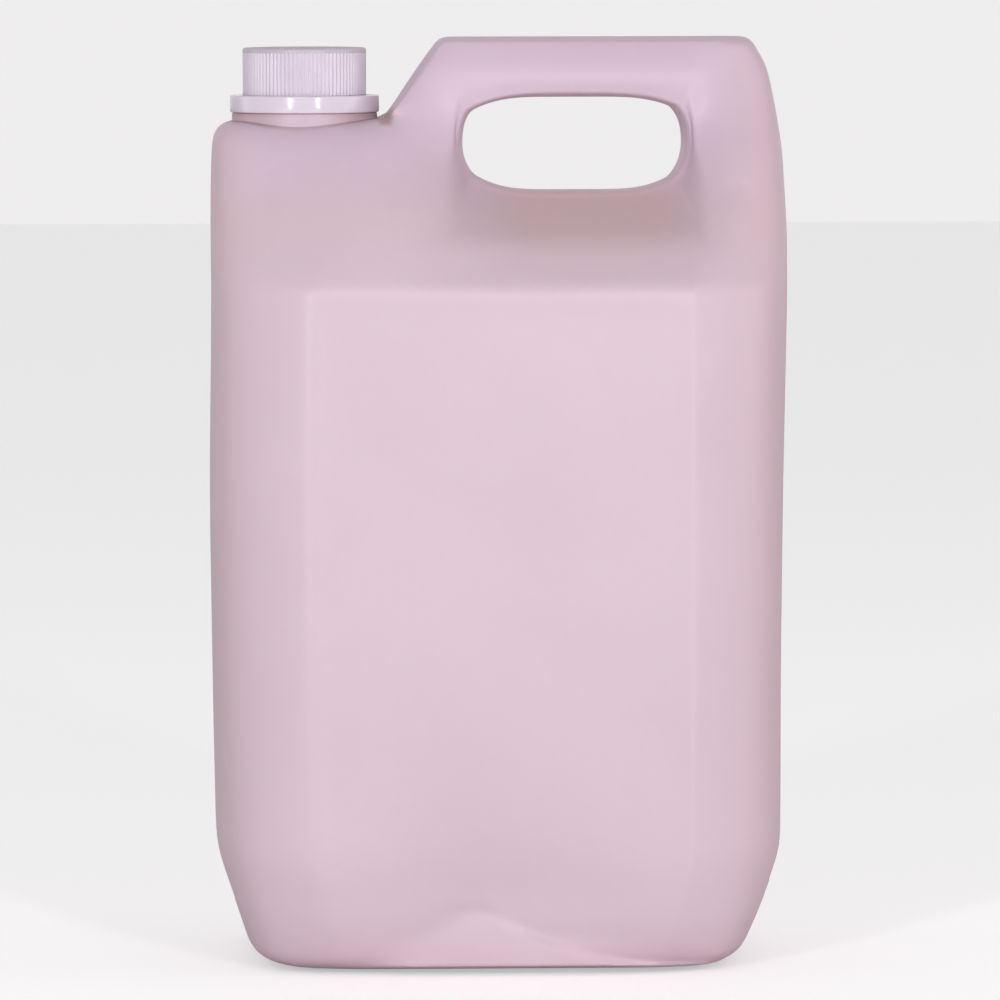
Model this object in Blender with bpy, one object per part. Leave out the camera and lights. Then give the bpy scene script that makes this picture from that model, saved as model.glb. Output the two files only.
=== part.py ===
"""Five-litre refill can of liquid hand soap: a blow-moulded jerry can with a handle, and a screw cap.

The can stands on Z = 0 with its width along X, its depth along Y and the cap at -X.
"""
import math

import bmesh
import bpy
from mathutils import Vector

MM = 0.001

# ---- can, millimetres ----
FACE_LEFT = -61.5            # upright edges of the flat label panel
FACE_RIGHT = 58.8
PANEL_TOP = 216.0            # level edge over the label panel
SHOULDER_TOP = 268.0         # flat shoulder that carries the neck
NOTCH_X = -36.4              # foot of the handle, beside the neck
HANDLE_ROUND = 2.2           # how far the handle's back edge stands out round
WALL = 1.3
SUBDIVISIONS = 1

# Height, left edge, right edge, then half depth at the side wall, the corner, the shoulder face
# and the handle face.
SECTIONS = (
    (0.0, -51.0, 50.0, 30.0, 31.0, 32.0, 32.0),
    (0.0, -69.5, 65.5, 45.5, 49.0, 51.0, 51.0),
    (3.0, -79.8, 76.4, 47.5, 54.8, 57.8, 57.8),
    (18.0, -84.8, 83.2, 48.0, 58.6, 63.2, 63.2),
    (36.0, -91.0, 89.6, 46.5, 61.4, 67.2, 67.2),
    (90.0, -92.2, 89.9, 45.5, 61.5, 68.0, 68.0),
    (150.0, -92.6, 90.4, 45.5, 61.5, 68.0, 68.0),
    (203.0, -92.2, 91.5, 45.5, 61.5, 68.0, 68.0),
    (PANEL_TOP, -92.1, 91.8, 44.0, 60.5, 68.0, 68.0),
    (232.0, -92.1, 91.9, 36.5, 48.0, 56.0, 46.0),
    (245.5, -92.0, 91.5, 30.0, 38.0, 45.5, 28.5),
    (258.0, -91.6, 90.8, 25.0, 31.0, 35.5, 21.5),
    (SHOULDER_TOP, -90.6, 89.4, 20.0, 23.0, 26.0, 18.0),
    (284.5, -25.6, 86.2, 13.5, 14.5, 16.0, 16.0),
    (294.0, -18.6, 80.4, 10.0, 11.0, 11.5, 11.5),
)
SHOULDER_ROW = 12
COLUMNS = 12
PANEL_ROWS = (4, 8)
PANEL_COLUMNS = (2, 9)
PANEL_SHARPNESS = 0.6
HANDLE_SHARPNESS = 0.6
FIRST_HANDLE_COLUMN = 3
CORNER_SHARE_LEFT = 0.42     # how far out from the panel's edge the can's upright corner lies
CORNER_SHARE_RIGHT = 0.45
HANDLE_END = 7.0             # from the handle's upper left corner to its first inner column

# ---- hand hole, millimetres ----
HOLE_CENTRE = (23.7, 259.9)
HOLE_HALF = (35.2, 14.8)
HOLE_ROUND_TOP = 12.0
HOLE_ROUND_BOTTOM = 14.7
HOLE_RIM_DEPTH = (9.5, 16.2)       # at the hole's foot and top
HOLE_RIM_ROUND = 1.2
HOLE_LIP = 3.0                     # flat border round the hole
DISH_SWELL = 0.8                   # how full the dish round the hole is above its middle
DISH_SINK = 2.0                    # and how hollow it is below
RECESS_COLUMNS = (4, 9)
RECESS_ROWS = (9, 13)
RECESS_LEFT = -17.0
RECESS_RIGHT = 63.5

# ---- soap and the buckle at the foot of the front, millimetres ----
SOAP_LEVEL = 241.0
SOAP_GAP = 0.7
BUCKLE_CENTRE = (0.0, 26.0)
BUCKLE_SIZE = (26.0, 16.0)
BUCKLE_DEPTH = 2.2

# ---- neck, millimetres ----
NECK_X = -61.8
COLLAR_RADIUS = 23.2
COLLAR_TOP = 270.0
NECK_RADIUS = 16.6
BORE_RADIUS = 14.4
MOUTH_HEIGHT = 287.4
NECK_FOOT = 254.0            # where the neck is sunk into the shoulder before they are joined
NECK_EDGE = 0.6
COLLAR_EDGE = 0.5
NECK_SEGMENTS = 48

# ---- thread, millimetres ----
THREAD_PITCH = 4.0
THREAD_DEPTH = 1.0
THREAD_WIDTH = 1.7
THREAD_TURNS = 1.5
THREAD_STEPS = 36            # flats in one turn
THREAD_ROOT = 0.4            # how deep the ridge is rooted in its wall
NECK_THREAD_START = 279.2
CAP_THREAD_START = 277.3

# ---- cap, ring and liner, millimetres ----
GAP = 0.3
CAP_BOTTOM = 275.1
CAP_TOP = 290.6
CAP_RADIUS = 19.75
CAP_BORE_RADIUS = 18.1
CAP_CEILING = 289.0
CAP_RIBS = 90
RIB_DEPTH = 0.45
RIB_TOP = 288.9
CAP_CHAMFER = 0.9
RING_TOP = 275.5
RING_SEAT = 274.7            # the cap's rim stands in a shallow seat inside the ring
RING_SEAT_RADIUS = 20.2
RING_RADIUS = 23.9
RING_FOOT_RADIUS = 23.2
RING_EDGE = 0.4
LINER_RADIUS = 16.4
LINER_THICKNESS = 1.0
LINER_SEGMENTS = 32


def clear_scene():
    """Remove what the scene holds."""
    for item in list(bpy.data.objects):
        bpy.data.objects.remove(item, do_unlink=True)


def plastic(name, colour, roughness):
    """Make a plain moulded finish."""
    material = bpy.data.materials.new(name)
    material.use_nodes = True
    shader = material.node_tree.nodes["Principled BSDF"]
    shader.inputs["Base Color"].default_value = (*colour, 1.0)
    shader.inputs["Roughness"].default_value = roughness
    shader.inputs["Metallic"].default_value = 0.0
    return material


def new_object(name, bm, material=None):
    """Turn a bmesh drawn in millimetres into an object in metres, faces pointing out."""
    bmesh.ops.recalc_face_normals(bm, faces=bm.faces)
    bmesh.ops.scale(bm, vec=(MM, MM, MM), verts=bm.verts)
    mesh = bpy.data.meshes.new(name)
    bm.to_mesh(mesh)
    bm.free()
    item = bpy.data.objects.new(name, mesh)
    bpy.context.scene.collection.objects.link(item)
    if material is not None:
        mesh.materials.append(material)
    return item


def smooth(item, angle=35.0):
    """Shade an object smooth with sharp edges past an angle."""
    item.data.shade_smooth()
    item.data.set_sharp_from_angle(angle=math.radians(angle))


def baked(item):
    """Replace an object's mesh by its mesh after modifiers."""
    graph = bpy.context.evaluated_depsgraph_get()
    mesh = bpy.data.meshes.new_from_object(item.evaluated_get(graph))
    item.modifiers.clear()
    item.data = mesh


def combine(item, other, operation):
    """Apply an exact Boolean with another object, then remove that object."""
    boolean = item.modifiers.new(operation.lower(), "BOOLEAN")
    boolean.operation = operation
    boolean.solver = "EXACT"
    boolean.object = other
    baked(item)
    bpy.data.objects.remove(other, do_unlink=True)


def ease(low, high, value):
    """Rise smoothly from 0 at low to 1 at high."""
    step = min(max((value - low) / (high - low), 0.0), 1.0)
    return step * step * (3.0 - 2.0 * step)


def blend(first, second, share):
    """Mix two numbers."""
    return first * (1.0 - share) + second * share


def column_place(section, column):
    """Give the X and the half depth of one cage column on one section."""
    height, left, right, side, corner, shoulder, handle = section
    full_left = SECTIONS[PANEL_ROWS[1]][1]
    low_scale = min(left / full_left, 1.0) if height < PANEL_TOP else 1.0
    face_left = FACE_LEFT * low_scale
    face_right = FACE_RIGHT * low_scale
    if RECESS_ROWS[0] <= SECTIONS.index(section) <= RECESS_ROWS[1]:
        face_right = RECESS_RIGHT
    hole_left = RECESS_LEFT * low_scale
    step = (face_right - hole_left) / 5.0
    notch = max(NOTCH_X * low_scale, left)
    places = (
        (left, side), (blend(face_left, left, CORNER_SHARE_LEFT), corner), (face_left, shoulder),
        (notch, shoulder), (hole_left, handle), (hole_left + step, handle),
        (hole_left + 2 * step, handle), (hole_left + 3 * step, handle),
        (hole_left + 4 * step, handle), (face_right, handle),
        (blend(face_right, right, CORNER_SHARE_RIGHT), corner), (right, side),
    )
    x, depth = places[column]
    if height > SHOULDER_TOP:
        if column == FIRST_HANDLE_COLUMN:
            depth = side
        if column == FIRST_HANDLE_COLUMN + 1 and section == SECTIONS[-1]:
            x = left + HANDLE_END
    return x, depth


def buckle(x, height):
    """How far the foot of the face is pushed in."""
    across = (x - BUCKLE_CENTRE[0]) / BUCKLE_SIZE[0]
    up = (height - BUCKLE_CENTRE[1]) / BUCKLE_SIZE[1]
    return BUCKLE_DEPTH * math.exp(-across * across - up * up)


def edge_round(x, height):
    """How far the can's narrow edge stands out round between its two faces."""
    if x < NOTCH_X + 0.5:
        return 0.0
    return HANDLE_ROUND * ease(232.0, 276.0, height)


def outline_keys():
    """List the cage's outer boundary as (row, column), once round."""
    last_row = len(SECTIONS) - 1
    keys = [(row, 0) for row in range(SHOULDER_ROW)]
    keys += [(SHOULDER_ROW, column) for column in range(FIRST_HANDLE_COLUMN)]
    keys += [(row, FIRST_HANDLE_COLUMN) for row in range(SHOULDER_ROW, last_row)]
    keys += [(last_row, column) for column in range(FIRST_HANDLE_COLUMN, COLUMNS - 1)]
    keys += [(row, COLUMNS - 1) for row in range(last_row, 0, -1)]
    keys += [(0, column) for column in range(COLUMNS - 1, 0, -1)]
    return keys


def recess_keys():
    """List the cage's boundary round the hand hole, once round."""
    first, last = RECESS_COLUMNS
    low, high = RECESS_ROWS
    keys = [(low, column) for column in range(first, last)]
    keys += [(row, last) for row in range(low, high)]
    keys += [(high, column) for column in range(last, first, -1)]
    keys += [(row, first) for row in range(high, low, -1)]
    return keys


def hole_point(x, height):
    """Project a point of the recess boundary onto the hand hole's outline."""
    middle_x = (RECESS_LEFT + RECESS_RIGHT) / 2.0
    low = SECTIONS[RECESS_ROWS[0]][0]
    high = SECTIONS[RECESS_ROWS[1]][0]
    middle_z = (low + high) / 2.0
    across = (x - middle_x) / (RECESS_RIGHT - middle_x) * HOLE_HALF[0]
    up = (height - middle_z) / (high - middle_z) * HOLE_HALF[1]
    across = min(max(across, -HOLE_HALF[0]), HOLE_HALF[0])
    radius = HOLE_ROUND_TOP if up > 0 else HOLE_ROUND_BOTTOM
    corner_x = math.copysign(HOLE_HALF[0] - radius, across)
    corner = Vector((corner_x, math.copysign(HOLE_HALF[1] - radius, up)))
    point = Vector((across, up))
    if abs(point.x) > abs(corner.x) and abs(point.y) > abs(corner.y):
        point = corner + (point - corner).normalized() * radius
    return Vector((HOLE_CENTRE[0] + point.x, HOLE_CENTRE[1] + point.y))


def sheet(bm, side):
    """Draw one face of the can as a quad cage; side is -1 at the front and 1 at the back."""
    places = {}
    for row, section in enumerate(SECTIONS):
        first = FIRST_HANDLE_COLUMN if row > SHOULDER_ROW else 0
        for column in range(first, COLUMNS):
            x, depth = column_place(section, column)
            height = section[0]
            if side < 0:
                depth -= buckle(x, height)
            places[row, column] = Vector((x, side * depth, height))
    boundary = outline_keys()
    outline = [Vector((places[key].x, 0.0, places[key].z)) for key in boundary]
    crown = []
    for index, key in enumerate(boundary):
        along = outline[(index + 1) % len(outline)] - outline[index - 1]
        outward = Vector((-along.z, 0.0, along.x)).normalized()
        lift = edge_round(outline[index].x, outline[index].z)
        places[key] = places[key] - outward * lift * 2.0 / 3.0
        crown.append(outline[index] + outward * lift / 3.0)
    verts = {key: bm.verts.new(place) for key, place in places.items()}
    for row in range(len(SECTIONS) - 1):
        for column in range(COLUMNS - 1):
            inside_hole = (RECESS_COLUMNS[0] <= column < RECESS_COLUMNS[1]
                           and RECESS_ROWS[0] <= row < RECESS_ROWS[1])
            corners = [(row, column), (row, column + 1), (row + 1, column + 1), (row + 1, column)]
            if not inside_hole and all(corner in verts for corner in corners):
                bm.faces.new([verts[corner] for corner in corners])
    sharpen(bm, panel_edges(verts), PANEL_SHARPNESS)
    return verts, crown


def sharpen(bm, pairs, weight):
    """Crease the edges between pairs of cage vertices."""
    layers = bm.edges.layers.float
    crease = layers.get("crease_edge") or layers.new("crease_edge")
    for pair in pairs:
        bm.edges.get(pair)[crease] = weight


def panel_edges(verts):
    """List the two upright edges of the label panel and the level one over it."""
    low, high = PANEL_ROWS
    left, right = PANEL_COLUMNS
    keys = [((row, column), (row + 1, column)) for row in range(low, high) for column in (left, right)]
    keys += [((high, column), (high, column + 1)) for column in range(left, right)]
    return [(verts[first], verts[second]) for first, second in keys]


def handle_edges(verts):
    """List the handle's edges up its slope and along its top."""
    top = len(SECTIONS) - 1
    keys = [(row, FIRST_HANDLE_COLUMN) for row in range(SHOULDER_ROW, top)]
    keys += [(top, column) for column in range(FIRST_HANDLE_COLUMN, COLUMNS - 1)]
    return [(verts[first], verts[second]) for first, second in zip(keys, keys[1:])]


def rim_depth(height):
    """Half depth of the hand hole's rim, which is deeper along its top."""
    foot, top = HOLE_RIM_DEPTH
    return blend(foot, top, ease(247.0, 259.0, height))


def hole_rings(bm, verts, side):
    """Draw the dished recess from its boundary in to the hand hole's rim; return the rim."""
    keys = recess_keys()
    start = [verts[key] for key in keys]
    middle, lip, rim = [], [], []
    for vert in start:
        target = hole_point(vert.co.x, vert.co.z)
        below = 1.0 - ease(246.0, 262.0, vert.co.z)
        depth = blend(abs(vert.co.y), rim_depth(target.y), 0.5 + 0.12 * below)
        depth += DISH_SWELL if below < 0.5 else -DISH_SINK * below
        x = blend(vert.co.x, target.x, 0.5)
        z = blend(vert.co.z, target.y, 0.5)
        middle.append(bm.verts.new((x, side * depth, z)))
        away = (target - Vector(HOLE_CENTRE)).normalized()
        for ring, reach in ((lip, HOLE_LIP), (rim, HOLE_RIM_ROUND * 2.0 / 3.0)):
            place = target + away * reach
            ring.append(bm.verts.new((place.x, side * rim_depth(target.y), place.y)))
    for first, second in ((start, middle), (middle, lip), (lip, rim)):
        strip(bm, first, second)
    return rim


def strip(bm, first, second):
    """Join two closed loops of vertices by quads."""
    count = len(first)
    for index in range(count):
        after = (index + 1) % count
        bm.faces.new((first[index], first[after], second[after], second[index]))


def can_skin():
    """Build the can's outer skin as one closed, subdivided surface."""
    bm = bmesh.new()
    front, crown = sheet(bm, -1)
    back, crown = sheet(bm, 1)
    crown_verts = [bm.verts.new(place) for place in crown]
    keys = outline_keys()
    strip(bm, [front[key] for key in keys], crown_verts)
    strip(bm, crown_verts, [back[key] for key in keys])
    notch = (SHOULDER_ROW, FIRST_HANDLE_COLUMN)
    notch_crown = crown_verts[keys.index(notch)]
    sharpen(bm, [(front[notch], notch_crown), (notch_crown, back[notch])], 1.0)
    for verts in (front, back):
        sharpen(bm, handle_edges(verts), HANDLE_SHARPNESS)
    front_rim = hole_rings(bm, front, -1)
    back_rim = hole_rings(bm, back, 1)
    throat = []
    for vert in front_rim:
        target = Vector((vert.co.x, vert.co.z))
        inward = (Vector(HOLE_CENTRE) - target).normalized() * HOLE_RIM_ROUND
        throat.append(bm.verts.new((vert.co.x + inward.x, 0.0, vert.co.z + inward.y)))
    strip(bm, front_rim, throat)
    strip(bm, throat, back_rim)
    skin = new_object("can_skin", bm)
    levels = skin.modifiers.new("round", "SUBSURF")
    levels.levels = SUBDIVISIONS
    levels.render_levels = SUBDIVISIONS
    baked(skin)
    return skin


def shrunk(skin, name, distance):
    """Copy the skin, moved in by a distance in millimetres."""
    bm = bmesh.new()
    bm.from_mesh(skin.data)
    bm.normal_update()
    moves = [(vert, vert.normal.copy()) for vert in bm.verts]
    for vert, normal in moves:
        vert.co -= normal * distance * MM
    mesh = bpy.data.meshes.new(name)
    bm.to_mesh(mesh)
    bm.free()
    item = bpy.data.objects.new(name, mesh)
    bpy.context.scene.collection.objects.link(item)
    return item


def turned(name, profile, segments, material=None, closed=False):
    """Turn a list of (radius, height) points about the neck's axis.

    An open profile starts and ends on the axis side and is capped flat; a closed one is a ring.
    """
    bm = bmesh.new()
    loops = []
    for radius, height in profile:
        loop = []
        for index in range(segments):
            angle = 2.0 * math.pi * index / segments
            loop.append(bm.verts.new((radius * math.cos(angle), radius * math.sin(angle), height)))
        loops.append(loop)
    for first, second in zip(loops, loops[1:]):
        strip(bm, first, second)
    if closed:
        strip(bm, loops[-1], loops[0])
    else:
        bm.faces.new(loops[0])
        bm.faces.new(loops[-1])
    bmesh.ops.translate(bm, vec=(NECK_X, 0.0, 0.0), verts=bm.verts)
    return new_object(name, bm, material)


def thread(name, root_radius, tip_radius, start):
    """Build one right-hand thread ridge that climbs round the neck's axis and fades at both ends."""
    bm = bmesh.new()
    count = round(THREAD_TURNS * THREAD_STEPS)
    loops = []
    for index in range(count + 1):
        angle = 2.0 * math.pi * index / THREAD_STEPS
        height = start + THREAD_PITCH * index / THREAD_STEPS
        fade = min(index, count - index, 4) / 4.0
        tip = root_radius + (tip_radius - root_radius) * max(fade, 0.25)
        root_half = THREAD_WIDTH / 2.0
        tip_half = THREAD_WIDTH / 4.0
        loop = []
        section = ((root_radius, -root_half), (tip, -tip_half), (tip, tip_half), (root_radius, root_half))
        for radius, lift in section:
            place = (NECK_X + radius * math.cos(angle), radius * math.sin(angle), height + lift)
            loop.append(bm.verts.new(place))
        loops.append(loop)
    for first, second in zip(loops, loops[1:]):
        strip(bm, first, second)
    bm.faces.new(loops[0])
    bm.faces.new(loops[-1])
    return new_object(name, bm)


def can_body(skin, material):
    """Join the skin, collar and threaded neck, and hollow them to one even wall."""
    inside = shrunk(skin, "can_inside", WALL)
    body = skin
    body.name = "can_body"
    body.data.materials.clear()
    body.data.materials.append(material)
    neck = turned("neck", (
        (COLLAR_RADIUS, NECK_FOOT), (COLLAR_RADIUS, COLLAR_TOP - COLLAR_EDGE),
        (COLLAR_RADIUS - COLLAR_EDGE, COLLAR_TOP), (NECK_RADIUS, COLLAR_TOP),
        (NECK_RADIUS, MOUTH_HEIGHT - NECK_EDGE), (NECK_RADIUS - NECK_EDGE, MOUTH_HEIGHT),
    ), NECK_SEGMENTS)
    combine(body, neck, "UNION")
    ridge = thread("neck_thread", NECK_RADIUS - THREAD_ROOT, NECK_RADIUS + THREAD_DEPTH, NECK_THREAD_START)
    combine(body, ridge, "UNION")
    throat = turned("throat", (
        (COLLAR_RADIUS - WALL, NECK_FOOT + 1.0), (COLLAR_RADIUS - WALL, COLLAR_TOP - WALL - 1.5),
        (BORE_RADIUS, COLLAR_TOP - WALL + 0.4), (BORE_RADIUS, MOUTH_HEIGHT + 5.0),
    ), NECK_SEGMENTS)
    combine(inside, throat, "UNION")
    combine(body, inside, "DIFFERENCE")
    smooth(body)
    return body


def soap_fill(skin, material):
    """Fill the can with liquid up to its level, just clear of the wall."""
    fill = shrunk(skin, "soap_fill", WALL + SOAP_GAP)
    bm = bmesh.new()
    bm.from_mesh(fill.data)
    cut = bmesh.ops.bisect_plane(
        bm, geom=bm.verts[:] + bm.edges[:] + bm.faces[:], dist=0.00001,
        plane_co=(0.0, 0.0, SOAP_LEVEL * MM), plane_no=(0.0, 0.0, 1.0), clear_outer=True)
    rim = [item for item in cut["geom_cut"] if isinstance(item, bmesh.types.BMEdge)]
    bmesh.ops.holes_fill(bm, edges=rim)
    bmesh.ops.triangulate(bm, faces=[face for face in bm.faces if len(face.verts) > 4])
    bmesh.ops.recalc_face_normals(bm, faces=bm.faces)
    bm.to_mesh(fill.data)
    bm.free()
    fill.data.materials.append(material)
    smooth(fill, 30.0)
    return fill


def screw_cap(material):
    """Build the ribbed cap, open below, with its thread inside."""
    bm = bmesh.new()
    count = CAP_RIBS * 2
    loops = []
    crest = CAP_RADIUS - 0.05
    valley = CAP_RADIUS - RIB_DEPTH
    rows = (
        (CAP_BOTTOM, crest, valley), (RIB_TOP, crest, valley),
        (RIB_TOP + 0.25, CAP_RADIUS, CAP_RADIUS), (CAP_TOP - CAP_CHAMFER, CAP_RADIUS, CAP_RADIUS),
        (CAP_TOP, CAP_RADIUS - CAP_CHAMFER, CAP_RADIUS - CAP_CHAMFER),
    )
    for height, outer, inner in rows:
        loop = []
        for index in range(count):
            angle = 2.0 * math.pi * index / count
            radius = outer if index % 2 == 0 else inner
            place = (NECK_X + radius * math.cos(angle), radius * math.sin(angle), height)
            loop.append(bm.verts.new(place))
        loops.append(loop)
    for first, second in zip(loops, loops[1:]):
        strip(bm, first, second)
    bm.faces.new(loops[0])
    bm.faces.new(loops[-1])
    cap = new_object("screw_cap", bm, material)
    bore_ends = ((CAP_BORE_RADIUS, CAP_BOTTOM - 3.0), (CAP_BORE_RADIUS, CAP_CEILING))
    combine(cap, turned("cap_bore", bore_ends, NECK_SEGMENTS), "DIFFERENCE")
    root = CAP_BORE_RADIUS + THREAD_ROOT
    ridge = thread("cap_thread", root, CAP_BORE_RADIUS - THREAD_DEPTH, CAP_THREAD_START)
    combine(cap, ridge, "UNION")
    smooth(cap, 25.0)
    return cap


def tamper_ring(material):
    """Build the wide plain ring that stays on the neck."""
    inner = NECK_RADIUS + GAP
    bottom = COLLAR_TOP + GAP
    ring = turned("tamper_ring", (
        (inner, bottom), (RING_FOOT_RADIUS - RING_EDGE, bottom), (RING_FOOT_RADIUS, bottom + RING_EDGE),
        (RING_RADIUS, RING_TOP - RING_EDGE), (RING_RADIUS - RING_EDGE, RING_TOP),
        (RING_SEAT_RADIUS, RING_TOP), (RING_SEAT_RADIUS, RING_SEAT), (inner, RING_SEAT),
    ), NECK_SEGMENTS, material, closed=True)
    smooth(ring)
    return ring


def cap_liner(material):
    """Build the foam disc between the mouth and the cap's ceiling."""
    bottom = MOUTH_HEIGHT + GAP
    ends = ((LINER_RADIUS, bottom), (LINER_RADIUS, bottom + LINER_THICKNESS))
    liner = turned("cap_liner", ends, LINER_SEGMENTS, material)
    smooth(liner)
    return liner


def set_origin(item, place):
    """Move an object's origin without moving its shape."""
    offset = Vector(place)
    for vert in item.data.vertices:
        vert.co -= offset
    item.location = offset


def main():
    clear_scene()
    soap_tinted = plastic("soap_tinted_hdpe", (0.71, 0.57, 0.64), 0.42)
    soap = plastic("pink_soap", (0.76, 0.45, 0.55), 0.12)
    cap_white = plastic("cap_white", (0.76, 0.68, 0.77), 0.38)
    ring_white = plastic("ring_white", (0.70, 0.60, 0.70), 0.3)
    foam = plastic("liner_foam", (0.86, 0.85, 0.84), 0.8)

    skin = can_skin()
    fill = soap_fill(skin, soap)
    body = can_body(skin, soap_tinted)
    ring = tamper_ring(ring_white)
    liner = cap_liner(foam)
    cap = screw_cap(cap_white)

    fill.parent = body
    ring.parent = body
    axis = bpy.data.objects.new("cap_axis", None)
    axis.location = (NECK_X * MM, 0.0, CAP_BOTTOM * MM)
    bpy.context.scene.collection.objects.link(axis)
    for piece in (liner, cap):
        set_origin(piece, axis.location)
        piece.location = (0.0, 0.0, 0.0)
        piece.parent = axis


main()
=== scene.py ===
"""Looks of the five-litre soap can: one moulded can, its cap, ring, liner and the soap inside."""
import math

import bmesh
import bpy
from mathutils import Matrix, Vector, noise


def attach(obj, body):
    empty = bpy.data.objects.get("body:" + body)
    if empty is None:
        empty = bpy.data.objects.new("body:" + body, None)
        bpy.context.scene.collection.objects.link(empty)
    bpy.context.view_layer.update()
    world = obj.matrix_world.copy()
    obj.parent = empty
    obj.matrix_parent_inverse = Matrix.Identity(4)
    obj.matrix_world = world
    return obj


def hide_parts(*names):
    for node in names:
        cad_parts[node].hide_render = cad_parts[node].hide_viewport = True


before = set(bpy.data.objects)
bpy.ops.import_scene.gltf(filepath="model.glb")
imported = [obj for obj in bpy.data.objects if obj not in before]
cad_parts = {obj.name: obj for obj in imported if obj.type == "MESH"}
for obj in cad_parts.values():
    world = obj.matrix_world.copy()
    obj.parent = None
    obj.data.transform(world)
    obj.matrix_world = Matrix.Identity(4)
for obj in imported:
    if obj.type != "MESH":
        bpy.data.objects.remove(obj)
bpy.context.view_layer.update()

MM = 0.001

# ---- can, millimetres ----
FACE_LEFT = -61.5
FACE_RIGHT = 58.8
PANEL_FOOT = 30.0
PANEL_TOP = 216.0
PANEL_SINK = 0.75
SHOULDER_TOP = 268.0
NOTCH_X = -36.4
HANDLE_ROUND = 2.2
HANDLE_SHARPNESS = 0.75
WALL = 1.3
HOLE_CENTRE = (23.7, 259.9)
HOLE_HALF = (35.2, 14.8)
HOLE_ROUND_TOP = 12.0
HOLE_ROUND_BOTTOM = 14.7
HOLE_RIM_DEPTH = (9.5, 16.2)       # at the hole's foot and top
HOLE_RIM_ROUND = 1.2
HOLE_LIP = 3.0                     # flat border round the hole
DISH_SWELL = 0.8                   # how full the dish round the hole is above its middle
DISH_SINK = 1.1                    # and how hollow it is below
DISH_RIDGE = 0.6                   # raised line along the dish's upper edge
RECESS_LEFT = -17.0
RECESS_RIGHT = 63.5
RECESS_FOOT = 232.0
RECESS_TOP = 284.5
SOAP_LEVEL = 241.0
SOAP_GAP = 0.7

# Height, left edge, right edge, then half depth at the side wall, the corner, the shoulder face
# and the handle face.
SECTIONS = (
    (0.0, -51.0, 50.0, 30.0, 31.0, 32.0, 32.0),
    (0.0, -69.5, 65.5, 45.5, 49.0, 51.0, 51.0),
    (3.0, -79.8, 76.4, 47.5, 54.8, 57.8, 57.8),
    (18.0, -84.8, 83.2, 48.0, 58.6, 63.2, 63.2),
    (36.0, -91.0, 89.6, 46.5, 61.4, 67.2, 67.2),
    (90.0, -92.2, 89.9, 45.5, 61.5, 68.0, 68.0),
    (150.0, -92.6, 90.4, 45.5, 61.5, 68.0, 68.0),
    (203.0, -92.2, 91.5, 45.5, 61.5, 68.0, 68.0),
    (216.0, -92.1, 91.8, 44.0, 60.5, 68.0, 68.0),
    (232.0, -92.1, 91.9, 36.5, 48.0, 56.0, 46.0),
    (245.5, -92.0, 91.5, 30.0, 38.0, 45.5, 28.5),
    (258.0, -91.6, 90.8, 25.0, 31.0, 35.5, 21.5),
    (268.0, -90.6, 89.4, 20.0, 23.0, 26.0, 18.0),
    (284.5, -25.6, 86.2, 13.5, 14.5, 16.0, 16.0),
    (294.0, -18.6, 80.4, 10.0, 11.0, 11.5, 11.5),
)
# Height and left edge up the handle's slope.
HANDLE_SLOPE = ((268.0, NOTCH_X), (276.5, -30.9), (284.5, -25.6), (294.0, -18.6))
# Heights of the cage rows; the first two lie flat on the floor.
ROW_HEIGHTS = (0.0, 0.0, 3.0, 10.0, 18.0, 27.0, 36.0, 45.0, 65.0, 90.0, 120.0, 150.0, 180.0, 203.0,
               210.5, 216.0, 220.5, 225.5, 232.0, 239.0, 245.5, 252.0, 258.0, 268.0, 276.5, 284.5,
               290.5, 294.0)
SHOULDER_ROW = ROW_HEIGHTS.index(SHOULDER_TOP)
RECESS_ROWS = (ROW_HEIGHTS.index(RECESS_FOOT), ROW_HEIGHTS.index(RECESS_TOP))
# Cage columns, left to right.
(LEFT, CORNER_LEFT, CREST_LEFT_OUT, CREST_LEFT, CREST_LEFT_IN, BESIDE_NECK, NOTCH, HOLE_LEFT,
 HOLE_A, HOLE_B, HOLE_C, HOLE_D, CREST_RIGHT_IN, CREST_RIGHT, CREST_RIGHT_OUT, CORNER_RIGHT,
 RIGHT) = range(17)
PANEL_EDGE_SECTION = 8             # the section at the panel's top, where the sides are straight
CORNER_SHARE = (0.42, 0.45)        # how far from face to side the left and right corners lie
CREST_OUT_LEFT = 6.0               # spacing of the columns that hold the face's rounded edges
CREST_IN_LEFT = 5.0
CREST_BESIDE_RIGHT = 3.0
CREASE_PEAK = (-6.0, 21.5)       # top of the buckle's crease, across and up
CREASE_RUN = 26.0                # how far to the right the crease takes to fall
WEDGE_SPREAD = 1.3               # how far to the left the wedge under the crease widens as it falls
WEDGE_FOOT = 59.6                # half depth of the wedge at its foot, and how it leans in
WEDGE_LEAN = 0.1
HOLLOW_CENTRE = (-1.0, 22.0)
HOLLOW_SIZE = (33.0, 24.0)
HOLLOW_DEPTH = 5.4
WAVE_SIZE = (46.0, 58.0)           # the skin's slight waves, along and up
WAVE_HEIGHT = 0.45
SKIN_LEVELS = 3
LINING_LEVELS = 2

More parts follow.
